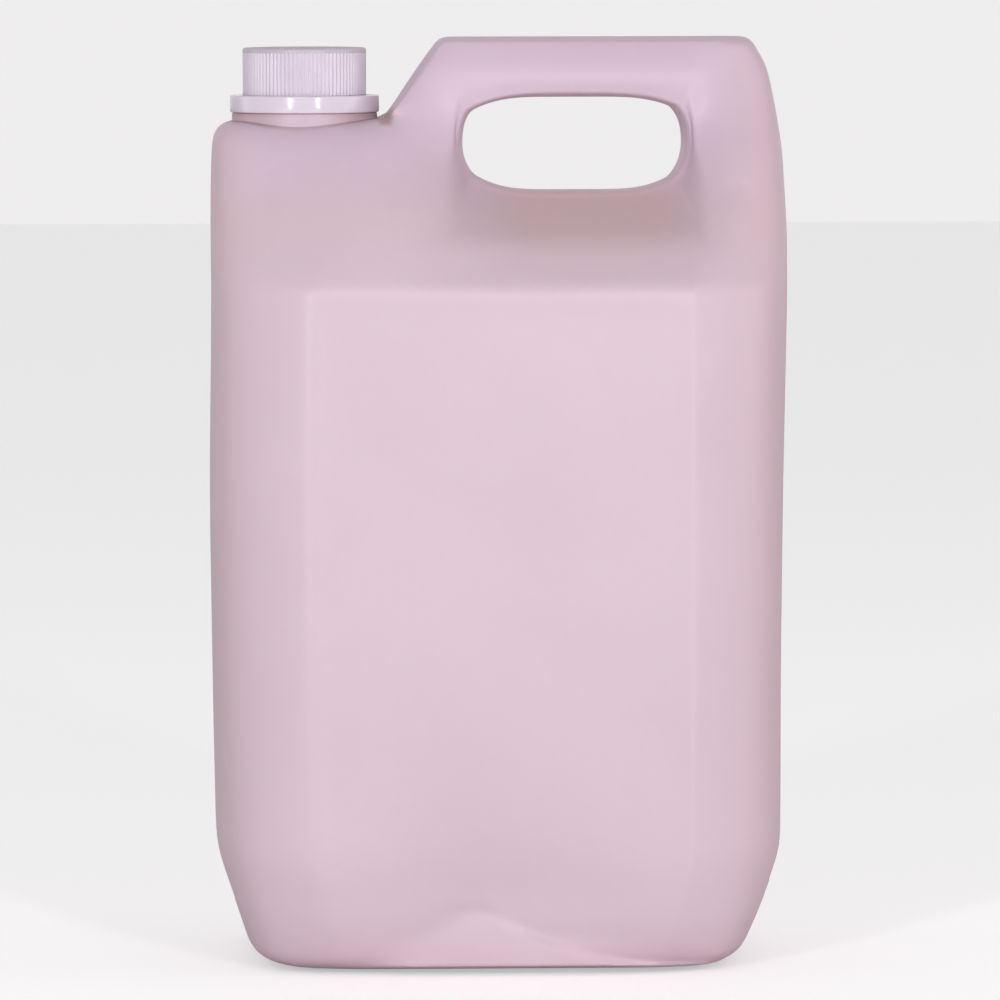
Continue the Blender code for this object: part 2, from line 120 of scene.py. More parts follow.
# ---- neck, ring, cap and liner, millimetres ----
NECK_X = -61.8
COLLAR_RADIUS = 23.2
COLLAR_TOP = 270.0
NECK_RADIUS = 16.6
BORE_RADIUS = 14.4
MOUTH_HEIGHT = 287.4
THREAD_PITCH = 4.0
THREAD_DEPTH = 1.0
THREAD_WIDTH = 1.7
THREAD_TURNS = 1.5
NECK_THREAD_START = 279.2
CAP_THREAD_START = 277.3
GAP = 0.3
CAP_BOTTOM = 275.1
CAP_TOP = 290.6
CAP_RADIUS = 19.75
CAP_BORE_RADIUS = 18.1
CAP_CEILING = 289.0
CAP_RIBS = 90
RIB_DEPTH = 0.5
RIB_FOOT = 275.7
RIB_TOP = 289.1
CAP_CHAMFER = 0.9
RING_TOP = 275.5
RING_SEAT = 274.7
RING_SEAT_RADIUS = 20.2
RING_RADIUS = 23.9
LINER_RADIUS = 16.4


# ======================= small helpers =======================

def ease(low, high, value):
    """Rise smoothly from 0 at low to 1 at high."""
    step = min(max((value - low) / (high - low), 0.0), 1.0)
    return step * step * (3.0 - 2.0 * step)


def blend(first, second, share):
    """Mix two numbers."""
    return first * (1.0 - share) + second * share


def new_piece(name, bm, material=None):
    """Turn a bmesh drawn in millimetres into an object in metres, faces pointing out."""
    bmesh.ops.recalc_face_normals(bm, faces=bm.faces)
    bmesh.ops.scale(bm, vec=(MM, MM, MM), verts=bm.verts)
    mesh = bpy.data.meshes.new(name)
    bm.to_mesh(mesh)
    bm.free()
    piece = bpy.data.objects.new(name, mesh)
    bpy.context.scene.collection.objects.link(piece)
    if material is not None:
        mesh.materials.append(material)
    return piece


def baked(piece):
    """Replace a piece's mesh by its mesh after modifiers."""
    graph = bpy.context.evaluated_depsgraph_get()
    mesh = bpy.data.meshes.new_from_object(piece.evaluated_get(graph))
    piece.modifiers.clear()
    piece.data = mesh


def combine(piece, other, operation):
    """Apply an exact Boolean with another object, then remove that object."""
    boolean = piece.modifiers.new(operation.lower(), "BOOLEAN")
    boolean.operation = operation
    boolean.solver = "EXACT"
    boolean.object = other
    baked(piece)
    bpy.data.objects.remove(other, do_unlink=True)


def smooth(piece, angle):
    """Shade smooth, with sharp edges past an angle in degrees."""
    piece.data.shade_smooth()
    piece.data.set_sharp_from_angle(angle=math.radians(angle))


def strip(bm, first, second):
    """Join two closed loops of vertices by quads."""
    count = len(first)
    for index in range(count):
        after = (index + 1) % count
        bm.faces.new((first[index], first[after], second[after], second[index]))


def turned_loops(bm, profile, segments, radius_at=None):
    """Turn (radius, height) points about the neck's axis and return the loops of vertices."""
    loops = []
    for radius, height in profile:
        loop = []
        for index in range(segments):
            angle = 2.0 * math.pi * index / segments
            reach = radius_at(radius, height, index) if radius_at else radius
            place = (NECK_X + reach * math.cos(angle), reach * math.sin(angle), height)
            loop.append(bm.verts.new(place))
        loops.append(loop)
    for first, second in zip(loops, loops[1:]):
        strip(bm, first, second)
    return loops


def turned(name, profile, segments, material=None, closed=False):
    """Turn a profile about the neck's axis; an open one is capped flat at both ends."""
    bm = bmesh.new()
    loops = turned_loops(bm, profile, segments)
    if closed:
        strip(bm, loops[-1], loops[0])
    else:
        bm.faces.new(loops[0])
        bm.faces.new(loops[-1])
    return new_piece(name, bm, material)


def fillet(centre, radius, start, end, steps):
    """Give the points of an arc, in degrees, for a turned profile."""
    points = []
    for index in range(steps + 1):
        angle = math.radians(blend(start, end, index / steps))
        points.append((centre[0] + radius * math.cos(angle), centre[1] + radius * math.sin(angle)))
    return points


def thread(name, root_radius, tip_radius, start, steps=96):
    """Build one right-hand thread ridge with rounded flanks that fades at both ends."""
    bm = bmesh.new()
    count = round(THREAD_TURNS * steps)
    loops = []
    for index in range(count + 1):
        angle = 2.0 * math.pi * index / steps
        height = start + THREAD_PITCH * index / steps
        fade = ease(0.0, steps / 8.0, min(index, count - index))
        tip = blend(root_radius, tip_radius, max(fade, 0.2))
        knee = blend(root_radius, tip, 0.8)
        half = THREAD_WIDTH / 2.0
        section = ((root_radius, -half), (knee, -half * 0.6), (tip, -half * 0.35),
                   (tip, half * 0.35), (knee, half * 0.6), (root_radius, half))
        loop = []
        for radius, lift in section:
            place = (NECK_X + radius * math.cos(angle), radius * math.sin(angle), height + lift)
            loop.append(bm.verts.new(place))
        loops.append(loop)
    for first, second in zip(loops, loops[1:]):
        strip(bm, first, second)
    bm.faces.new(loops[0])
    bm.faces.new(loops[-1])
    return new_piece(name, bm)


# ======================= the can's skin =======================

def section_at(row):
    """Give the can's section at one cage row, between the sections that are drawn."""
    if row < 2:
        return SECTIONS[row]
    height = ROW_HEIGHTS[row]
    for low, high in zip(SECTIONS[1:], SECTIONS[2:]):
        if height <= high[0]:
            share = (height - low[0]) / (high[0] - low[0])
            return tuple(blend(a, b, share) for a, b in zip(low, high))
    return SECTIONS[-1]


def handle_left(height):
    """Left edge of the handle above the shoulder, up its slope."""
    for low, high in zip(HANDLE_SLOPE, HANDLE_SLOPE[1:]):
        if height <= high[0]:
            return blend(low[1], high[1], (height - low[0]) / (high[0] - low[0]))
    return HANDLE_SLOPE[-1][1]


def column_places(row):
    """Give each cage column's X and half depth on one row."""
    height, left, right, side, corner, shoulder, handle = section_at(row)
    scale = min(left / SECTIONS[PANEL_EDGE_SECTION][1], 1.0) if height < PANEL_TOP else 1.0
    above = height > SHOULDER_TOP
    if above:
        left = handle_left(height)
    face_left = FACE_LEFT * scale
    face_right = FACE_RIGHT * scale
    if height > PANEL_TOP:
        face_right = blend(FACE_RIGHT, RECESS_RIGHT, ease(PANEL_TOP, RECESS_FOOT, height))
    hole_left = RECESS_LEFT * scale
    step = (face_right - hole_left) / 5.0
    notch = left if above else NOTCH_X * scale
    sunk = 0.0
    if height < PANEL_TOP - 1.0:
        sunk = PANEL_SINK * ease(PANEL_FOOT - 14.0, PANEL_FOOT + 10.0, height)
    corner_left = blend(face_left, left, CORNER_SHARE[0])
    corner_right = blend(face_right, right, CORNER_SHARE[1])
    out_left = CREST_OUT_LEFT / abs(corner_left - face_left) if not above else 0.0
    out_right = CREST_BESIDE_RIGHT / abs(corner_right - face_right)
    places = {
        LEFT: (left, side),
        CORNER_LEFT: (corner_left, corner),
        CREST_LEFT_OUT: (face_left - CREST_OUT_LEFT, blend(shoulder, corner, min(out_left, 1.0))),
        CREST_LEFT: (face_left, shoulder),
        CREST_LEFT_IN: (face_left + CREST_IN_LEFT, shoulder - sunk),
        BESIDE_NECK: ((face_left + notch) / 2.0, shoulder - sunk),
        NOTCH: (notch, side if above else shoulder - sunk),
        HOLE_LEFT: (hole_left, blend(handle, shoulder, step_softness(height)) - sunk),
        HOLE_A: (hole_left + step, handle - sunk),
        HOLE_B: (hole_left + 2 * step, handle - sunk),
        HOLE_C: (hole_left + 3 * step, handle - sunk),
        HOLE_D: (hole_left + 4 * step, handle - sunk),
        CREST_RIGHT_IN: (face_right - CREST_BESIDE_RIGHT, handle - sunk),
        CREST_RIGHT: (face_right, handle),
        CREST_RIGHT_OUT: (face_right + CREST_BESIDE_RIGHT, blend(handle, corner, min(out_right, 1.0))),
        CORNER_RIGHT: (corner_right, corner),
        RIGHT: (right, side),
    }
    if height > PANEL_TOP:
        flat = ease(PANEL_TOP, PANEL_TOP + 12.0, height)
        places[CREST_LEFT_OUT] = (face_left - CREST_OUT_LEFT - 4.0 * flat,
                                  places[CREST_LEFT_OUT][1] - 1.2 * flat)
        places[CREST_LEFT] = (face_left, shoulder - 1.6 * flat)
        places[CREST_LEFT_IN] = (face_left + CREST_IN_LEFT + 6.0 * flat, shoulder - 0.4 * flat)
    if height > 285.0:
        places[HOLE_LEFT] = (left + 5.0, places[HOLE_LEFT][1])
        places[CORNER_RIGHT] = (blend(face_right, right, 0.6), corner)
    return places


def step_softness(height):
    """How far the recess's left edge stands out towards the shoulder face, so that it has no hard line."""
    return 0.45 * ease(PANEL_TOP, PANEL_TOP + 10.0, height) * (1.0 - ease(238.0, 262.0, height))


def edge_round(x, height):
    """How far the can's narrow edge stands out round between its two faces."""
    if x < NOTCH_X + 0.5:
        return 0.0
    return HANDLE_ROUND * ease(232.0, 276.0, height)


def outline_keys():
    """List the cage's outer boundary as (row, column), once round."""
    top = len(ROW_HEIGHTS) - 1
    keys = [(row, LEFT) for row in range(SHOULDER_ROW)]
    keys += [(SHOULDER_ROW, column) for column in range(NOTCH)]
    keys += [(row, NOTCH) for row in range(SHOULDER_ROW, top)]
    keys += [(top, column) for column in range(NOTCH, RIGHT)]
    keys += [(row, RIGHT) for row in range(top, 0, -1)]
    keys += [(0, column) for column in range(RIGHT, 0, -1)]
    return keys


def recess_keys():
    """List the cage's boundary round the hand hole, once round."""
    low, high = RECESS_ROWS
    keys = [(low, column) for column in range(HOLE_LEFT, CREST_RIGHT)]
    keys += [(row, CREST_RIGHT) for row in range(low, high)]
    keys += [(high, column) for column in range(CREST_RIGHT, HOLE_LEFT, -1)]
    keys += [(row, HOLE_LEFT) for row in range(high, low, -1)]
    return keys


def hole_point(x, height):
    """Project a point of the recess boundary onto the hand hole's outline."""
    middle_x = (RECESS_LEFT + RECESS_RIGHT) / 2.0
    middle_z = (RECESS_FOOT + RECESS_TOP) / 2.0
    across = (x - middle_x) / (RECESS_RIGHT - middle_x) * HOLE_HALF[0]
    up = (height - middle_z) / (RECESS_TOP - middle_z) * HOLE_HALF[1]
    across = min(max(across, -HOLE_HALF[0]), HOLE_HALF[0])
    radius = HOLE_ROUND_TOP if up > 0 else HOLE_ROUND_BOTTOM
    corner = Vector((math.copysign(HOLE_HALF[0] - radius, across),
                     math.copysign(HOLE_HALF[1] - radius, up)))
    point = Vector((across, up))
    if abs(point.x) > abs(corner.x) and abs(point.y) > abs(corner.y):
        point = corner + (point - corner).normalized() * radius
    return Vector((HOLE_CENTRE[0] + point.x, HOLE_CENTRE[1] + point.y))


def draw_sheet(bm, side):
    """Draw one face of the can as a quad cage; side is -1 at the front and 1 at the back."""
    places = {}
    for row in range(len(ROW_HEIGHTS)):
        for column, (x, depth) in column_places(row).items():
            if row <= SHOULDER_ROW or column >= NOTCH:
                places[row, column] = Vector((x, side * depth, ROW_HEIGHTS[row]))
    boundary = outline_keys()
    outline = [Vector((places[key].x, 0.0, places[key].z)) for key in boundary]
    crown = []
    for index, key in enumerate(boundary):
        along = outline[(index + 1) % len(outline)] - outline[index - 1]
        outward = Vector((-along.z, 0.0, along.x)).normalized()
        lift = edge_round(outline[index].x, outline[index].z)
        places[key] = places[key] - outward * lift * 2.0 / 3.0
        crown.append(outline[index] + outward * lift / 3.0)
    verts = {key: bm.verts.new(place) for key, place in places.items()}
    for row in range(len(ROW_HEIGHTS) - 1):
        for column in range(RIGHT):
            in_hole = (HOLE_LEFT <= column < CREST_RIGHT and RECESS_ROWS[0] <= row < RECESS_ROWS[1])
            corners = [(row, column), (row, column + 1), (row + 1, column + 1), (row + 1, column)]
            if not in_hole and all(corner in verts for corner in corners):
                bm.faces.new([verts[corner] for corner in corners])
    return verts, crown


def rim_depth(height):
    """Half depth of the hand hole's rim, which is deeper along its top."""
    foot, top = HOLE_RIM_DEPTH
    return blend(foot, top, ease(247.0, 259.0, height))


def draw_recess(bm, verts, side):
    """Draw the dished recess from its boundary in to the hand hole's rim; return the rim."""
    start = [verts[key] for key in recess_keys()]
    middle, lip, rim = [], [], []
    for vert in start:
        if vert.co.z > (HOLE_CENTRE[1] + RECESS_TOP) / 2.0:
            vert.co.y += side * DISH_RIDGE
        target = hole_point(vert.co.x, vert.co.z)
        below = 1.0 - ease(246.0, 262.0, vert.co.z)
        aside = abs(vert.co.x - (RECESS_LEFT + RECESS_RIGHT) / 2.0) / (RECESS_RIGHT - RECESS_LEFT) * 2.0
        sink = DISH_SINK * (1.0 - 0.8 * ease(0.55, 1.0, aside))
        depth = blend(abs(vert.co.y), rim_depth(target.y), 0.5 + 0.12 * below)
        depth += DISH_SWELL if below < 0.5 else -sink * below
        place = ((vert.co.x + target.x) / 2.0, side * depth, (vert.co.z + target.y) / 2.0)
        middle.append(bm.verts.new(place))
        away = (target - Vector(HOLE_CENTRE)).normalized()
        for ring, reach in ((lip, HOLE_LIP), (rim, HOLE_RIM_ROUND * 2.0 / 3.0)):
            spot = target + away * reach
            ring.append(bm.verts.new((spot.x, side * rim_depth(target.y), spot.y)))
    for first, second in ((start, middle), (middle, lip), (lip, rim)):
        strip(bm, first, second)
    return rim


def sharpen(bm, pairs, weight):
    """Crease the edges between pairs of cage vertices."""
    layers = bm.edges.layers.float
    crease = layers.get("crease_edge") or layers.new("crease_edge")
    for pair in pairs:
        bm.edges.get(pair)[crease] = weight


def handle_edges(verts):
    """List the handle's edges up its slope and along its top."""
    top = len(ROW_HEIGHTS) - 1
    keys = [(row, NOTCH) for row in range(SHOULDER_ROW, top)]
    keys += [(top, column) for column in range(NOTCH, CORNER_RIGHT + 1)]
    return [(verts[first], verts[second]) for first, second in zip(keys, keys[1:])]


def can_cage(name, levels):
    """Build the can's closed skin as a quad cage and subdivide it."""
    bm = bmesh.new()
    front, crown = draw_sheet(bm, -1)
    back, crown = draw_sheet(bm, 1)
    crown_verts = [bm.verts.new(place) for place in crown]
    keys = outline_keys()
    strip(bm, [front[key] for key in keys], crown_verts)
    strip(bm, crown_verts, [back[key] for key in keys])
    notch = (SHOULDER_ROW, NOTCH)
    notch_crown = crown_verts[keys.index(notch)]
    sharpen(bm, [(front[notch], notch_crown), (notch_crown, back[notch])], 1.0)
    for verts in (front, back):
        sharpen(bm, handle_edges(verts), HANDLE_SHARPNESS)
    front_rim = draw_recess(bm, front, -1)
    back_rim = draw_recess(bm, back, 1)
    throat = []
    for vert in front_rim:
        target = Vector((vert.co.x, vert.co.z))
        inward = (Vector(HOLE_CENTRE) - target).normalized() * HOLE_RIM_ROUND
        throat.append(bm.verts.new((vert.co.x + inward.x, 0.0, vert.co.z + inward.y)))
    strip(bm, front_rim, throat)
    strip(bm, throat, back_rim)
    skin = new_piece(name, bm)
    rounding = skin.modifiers.new("round", "SUBSURF")
    rounding.levels = levels
    rounding.render_levels = levels
    baked(skin)
    return skin


def buckled(x, height, depth):
    """Give the front's half depth with the creased buckle at its foot.

    A broad hollow lies over a slanting crease, and the wedge under the crease leans back.
    """
    across = (x - HOLLOW_CENTRE[0]) / HOLLOW_SIZE[0]
    up = (height - HOLLOW_CENTRE[1]) / HOLLOW_SIZE[1]
    hollow = HOLLOW_DEPTH * math.exp(-across * across - up * up) * ease(2.0, 13.0, height)
    crease = CREASE_PEAK[1] * math.exp(-max(x - CREASE_PEAK[0], 0.0) / CREASE_RUN)
    left_edge = CREASE_PEAK[0] - WEDGE_SPREAD * (CREASE_PEAK[1] - height)
    under_crease = ease(-1.6, 2.2, crease - height)
    in_wedge = under_crease * ease(-18.0, 5.0, x - left_edge) * ease(0.4, 3.0, height)
    wedge = WEDGE_FOOT - WEDGE_LEAN * height
    return blend(depth - hollow, wedge, in_wedge)


def settle(skin):
    """Give the blown skin its buckle and its slight waviness."""
    long, tall = WAVE_SIZE
    for vert in skin.data.vertices:
        place = vert.co / MM
        inside = ease(2.0, 12.0, place.z) * ease(262.0, 244.0, place.z)
        wave = noise.noise(Vector((place.x / long, place.y / long, place.z / tall)))
        push = min(WAVE_HEIGHT * (wave - 0.4) * inside, 0.0)
        if place.y < -40.0:
            vert.co.y = -(buckled(place.x, place.z, -place.y) + push) * MM
        elif abs(place.y) > 34.0:
            vert.co.y += push * MM * math.copysign(1.0, place.y)
        elif abs(place.x) > 85.0:
            vert.co.x += 0.6 * push * MM * math.copysign(1.0, place.x)


def shrunk_cage(name, distance):
    """Build the can's skin, moved in by a distance in millimetres."""
    skin = can_cage(name, LINING_LEVELS)
    settle(skin)
    skin.data.update()
    normals = [vert.normal.copy() for vert in skin.data.vertices]
    for vert, normal in zip(skin.data.vertices, normals):
        vert.co -= normal * distance * MM
    return skin


def soap_body(material):
    """Fill the can to its level, just clear of the wall."""
    soap = shrunk_cage("liquid_soap", WALL + SOAP_GAP)
    bm = bmesh.new()
    bm.from_mesh(soap.data)
    cut = bmesh.ops.bisect_plane(
        bm, geom=bm.verts[:] + bm.edges[:] + bm.faces[:], dist=0.00001,
        plane_co=(0.0, 0.0, SOAP_LEVEL * MM), plane_no=(0.0, 0.0, 1.0), clear_outer=True)
    rim = [item for item in cut["geom_cut"] if isinstance(item, bmesh.types.BMEdge)]
    bmesh.ops.holes_fill(bm, edges=rim)
    bm.to_mesh(soap.data)
    bm.free()
    soap.data.materials.append(material)
    smooth(soap, 40.0)
    return soap


def can_lining():
    """Build the can's inner surface with its throat, ready to be cut away."""
    lining = shrunk_cage("can_lining", WALL)
    under = SHOULDER_TOP - 13.0
    throat = turned("throat", [
        (COLLAR_RADIUS - WALL, under), (COLLAR_RADIUS - WALL, COLLAR_TOP - WALL - 1.5),
        (BORE_RADIUS, COLLAR_TOP - WALL + 0.4), (BORE_RADIUS, MOUTH_HEIGHT - 0.5),
        (BORE_RADIUS + 0.5, MOUTH_HEIGHT + 0.02), (BORE_RADIUS + 0.5, MOUTH_HEIGHT + 3.0),
    ], 128)
    combine(lining, throat, "UNION")
    return lining


def can_moulding(material):
    """Join the skin, collar and threaded neck, and hollow them to one even wall."""
    can = can_cage("can_moulding", SKIN_LEVELS)
    settle(can)
    can.data.materials.append(material)
    neck_profile = [(COLLAR_RADIUS - 0.1, SHOULDER_TOP - 14.0), (COLLAR_RADIUS, COLLAR_TOP - 0.7)]
    neck_profile += fillet((COLLAR_RADIUS - 0.6, COLLAR_TOP - 0.6), 0.6, 10.0, 90.0, 4)
    neck_profile += [(NECK_RADIUS + 0.5, COLLAR_TOP), (NECK_RADIUS, COLLAR_TOP + 0.5)]
    neck_profile += fillet((NECK_RADIUS - 0.7, MOUTH_HEIGHT - 0.7), 0.7, 0.0, 90.0, 5)
    combine(can, turned("neck", neck_profile, 128), "UNION")
    ridge = thread("neck_thread", NECK_RADIUS - 0.4, NECK_RADIUS + THREAD_DEPTH, NECK_THREAD_START)
    combine(can, ridge, "UNION")
    combine(can, can_lining(), "DIFFERENCE")
    smooth(can, 38.0)
    return can


# ======================= cap, ring and liner =======================

def ribbed_cap(material):
    """Build the cap: rounded ribs, plain rim, shallow dished top, bore and inner thread."""
    bm = bmesh.new()
    per_rib = 8
    crest = CAP_RADIUS - 0.04

    def rib_radius(radius, height, index):
        if radius < 0.0:
            phase = 2.0 * math.pi * (index % per_rib) / per_rib
            lobe = (0.5 + 0.5 * math.cos(phase)) ** 0.75
            return -radius - RIB_DEPTH * (1.0 - lobe)
        return radius

    foot = CAP_RADIUS - 0.35
    profile = [(foot - 0.3, CAP_BOTTOM), (foot, CAP_BOTTOM + 0.2), (foot, RIB_FOOT - 0.2)]
    profile += [(-crest, RIB_FOOT), (-crest, blend(RIB_FOOT, RIB_TOP, 0.5)), (-crest, RIB_TOP - 0.15)]
    profile += [(CAP_RADIUS, RIB_TOP + 0.15), (CAP_RADIUS, CAP_TOP - CAP_CHAMFER)]
    profile += fillet((CAP_RADIUS - CAP_CHAMFER, CAP_TOP - CAP_CHAMFER), CAP_CHAMFER, 20.0, 90.0, 5)
    profile += [(CAP_RADIUS - 2.2, CAP_TOP), (CAP_RADIUS - 2.7, CAP_TOP - 0.3), (1.6, CAP_TOP - 0.35),
                (1.2, CAP_TOP - 0.1), (0.4, CAP_TOP - 0.05)]
    loops = turned_loops(bm, profile, CAP_RIBS * per_rib, rib_radius)
    bm.faces.new(loops[0])
    bm.faces.new(loops[-1])
    cap = new_piece("ribbed_cap", bm, material)
    bore = turned("cap_bore", [
        (CAP_BORE_RADIUS + 0.3, CAP_BOTTOM - 3.0), (CAP_BORE_RADIUS + 0.3, CAP_BOTTOM),
        (CAP_BORE_RADIUS, CAP_BOTTOM + 0.4), (CAP_BORE_RADIUS, CAP_CEILING),
    ], 128)
    combine(cap, bore, "DIFFERENCE")
    ridge = thread("cap_thread", CAP_BORE_RADIUS + 0.4, CAP_BORE_RADIUS - THREAD_DEPTH, CAP_THREAD_START)
    combine(cap, ridge, "UNION")
    smooth(cap, 32.0)
    return cap


def neck_ring(material):
    """Build the wide plain ring with rounded edges that stays on the neck."""
    inner = NECK_RADIUS + GAP
    bottom = COLLAR_TOP + 0.05
    profile = [(inner, bottom)]
    profile += fillet((RING_RADIUS - 0.65, bottom + 0.6), 0.6, -90.0, 0.0, 5)
    profile += [(RING_RADIUS - 0.03, bottom + 2.0), (RING_RADIUS, RING_TOP - 1.4)]
    profile += fillet((RING_RADIUS - 0.55, RING_TOP - 0.55), 0.55, 0.0, 90.0, 5)
    profile += [(RING_SEAT_RADIUS + 0.3, RING_TOP), (RING_SEAT_RADIUS, RING_TOP - 0.3),
                (RING_SEAT_RADIUS, RING_SEAT), (inner, RING_SEAT)]
    ring = turned("neck_ring", profile, 192, material, closed=True)
    smooth(ring, 40.0)
    return ring


def liner_disc(material):
    """Build the foam disc under the cap's ceiling, dented by the mouth's lip."""
    bottom = MOUTH_HEIGHT + GAP
    dented = bottom + 0.12
    flat = bottom + 0.02
    profile = [(0.5, flat), (BORE_RADIUS - 0.4, flat), (BORE_RADIUS + 0.4, dented),
               (NECK_RADIUS - 0.8, dented), (NECK_RADIUS - 0.4, flat), (LINER_RADIUS, bottom + 0.1),
               (LINER_RADIUS, bottom + 0.9), (LINER_RADIUS - 0.1, bottom + 1.0)]
    liner = turned("liner_disc", profile, 96, material)
    smooth(liner, 40.0)
    return liner


# ======================= finishes =======================

# The foot, shade band, edge and neck shade colours are painted shade on the wall.
CAN_FOOT_SHADE_COLOUR = (0.66, 0.475, 0.55)
CAN_COLOUR = (0.70, 0.545, 0.62)
CAN_ABOVE_SOAP_COLOUR = (0.67, 0.515, 0.61)
SHADE_BAND_COLOUR = (0.67, 0.44, 0.43)
LEFT_EDGE_SHADE_COLOUR = (0.64, 0.445, 0.49)
RIGHT_EDGE_SHADE_COLOUR = (0.69, 0.48, 0.54)
NECK_SHADE_COLOUR = (0.40, 0.25, 0.24)
SPECK_COLOUR = (0.42, 0.27, 0.30)
CAP_COLOURS = ((0.73, 0.645, 0.75), (0.69, 0.605, 0.71))
RING_COLOURS = ((0.75, 0.665, 0.77), (0.71, 0.625, 0.73))
FOAM_COLOURS = ((0.88, 0.87, 0.86), (0.80, 0.79, 0.78))
SOAP_COLOURS = ((0.70, 0.36, 0.46), (0.82, 0.50, 0.60))


def shader_group(name, inputs, outputs):
    """Start a shader node group with named number or colour sockets."""
    group = bpy.data.node_groups.new(name, "ShaderNodeTree")
    for label, kind, value in inputs:
        socket = group.interface.new_socket(name=label, in_out="INPUT", socket_type=kind)
        if value is not None:
            socket.default_value = value
    for label, kind in outputs:
        group.interface.new_socket(name=label, in_out="OUTPUT", socket_type=kind)
    start = group.nodes.new("NodeGroupInput")
    end = group.nodes.new("NodeGroupOutput")
    return group, start, end


def math_node(tree, operation, first, second=None):
    """Add a Math node and connect or set its inputs."""
    node = tree.nodes.new("ShaderNodeMath")
    node.operation = operation
    for socket, value in zip(node.inputs, (first, second)):
        if value is None:
            continue
        if isinstance(value, (int, float)):
            socket.default_value = value
        else:
            tree.links.new(value, socket)
    return node.outputs["Value"]


def ramp(tree, source, low, high, to_low=0.0, to_high=1.0, steps="SMOOTHSTEP"):
    """Map a value smoothly from one range to another."""
    node = tree.nodes.new("ShaderNodeMapRange")
    node.interpolation_type = steps
    tree.links.new(source, node.inputs["Value"])
    node.inputs["From Min"].default_value = low
    node.inputs["From Max"].default_value = high
    node.inputs["To Min"].default_value = to_low
    node.inputs["To Max"].default_value = to_high
    return node.outputs["Result"]


def mix_colour(tree, share, first, second, mode="MIX"):
    """Mix two colours or colour sockets."""
    node = tree.nodes.new("ShaderNodeMix")
    node.data_type = "RGBA"
    node.blend_type = mode
    for socket, value in ((node.inputs[0], share), (node.inputs[6], first), (node.inputs[7], second)):
        if isinstance(value, (int, float)):
            socket.default_value = value
        elif isinstance(value, tuple):
            socket.default_value = (*value, 1.0)
        else:
            tree.links.new(value, socket)
    return node.outputs[2]


def grain_group():
    """Moulding grain: a soft cloud mask, a fine grain height and a speck mask, in metres."""
    group, start, end = shader_group("moulding_grain", (
        ("Cloud Size", "NodeSocketFloat", 0.05), ("Grain Size", "NodeSocketFloat", 0.0015),
        ("Speck Size", "NodeSocketFloat", 0.02),
    ), (("Cloud", "NodeSocketFloat"), ("Grain", "NodeSocketFloat"), ("Speck", "NodeSocketFloat")))
    place = group.nodes.new("ShaderNodeTexCoord")

    def field(label, detail):
        node = group.nodes.new("ShaderNodeTexNoise")
        group.links.new(place.outputs["Object"], node.inputs["Vector"])
        group.links.new(math_node(group, "DIVIDE", 1.0, start.outputs[label]), node.inputs["Scale"])
        node.inputs["Detail"].default_value = detail
        return node.outputs["Fac"]

    group.links.new(field("Cloud Size", 3.0), end.inputs["Cloud"])
    group.links.new(field("Grain Size", 2.0), end.inputs["Grain"])
    cells = group.nodes.new("ShaderNodeTexVoronoi")
    group.links.new(place.outputs["Object"], cells.inputs["Vector"])
    group.links.new(math_node(group, "DIVIDE", 1.0, start.outputs["Speck Size"]), cells.inputs["Scale"])
    group.links.new(ramp(group, cells.outputs["Distance"], 0.02, 0.045, 1.0, 0.0), end.inputs["Speck"])
    return group


def new_finish(name, roughness, specular=0.5):
    """Start a material and return it with its tree and Principled node."""
    material = bpy.data.materials.new(name)
    material.use_nodes = True
    tree = material.node_tree
    shader = tree.nodes["Principled BSDF"]
    shader.inputs["Roughness"].default_value = roughness
    shader.inputs["Specular IOR Level"].default_value = specular
    return material, tree, shader


def add_grain(tree, group, cloud, grain, speck):
    """Place the moulding grain in a material with its own sizes in metres."""
    node = tree.nodes.new("ShaderNodeGroup")
    node.node_tree = group
    node.inputs["Cloud Size"].default_value = cloud
    node.inputs["Grain Size"].default_value = grain
    node.inputs["Speck Size"].default_value = speck
    return node


def add_bump(tree, shader, height, distance, strength=1.0):
    """Feed a height to the shader's normal."""
    bump = tree.nodes.new("ShaderNodeBump")
    bump.inputs["Strength"].default_value = strength
    bump.inputs["Distance"].default_value = distance
    tree.links.new(height, bump.inputs["Height"])
    tree.links.new(bump.outputs["Normal"], shader.inputs["Normal"])
    return bump


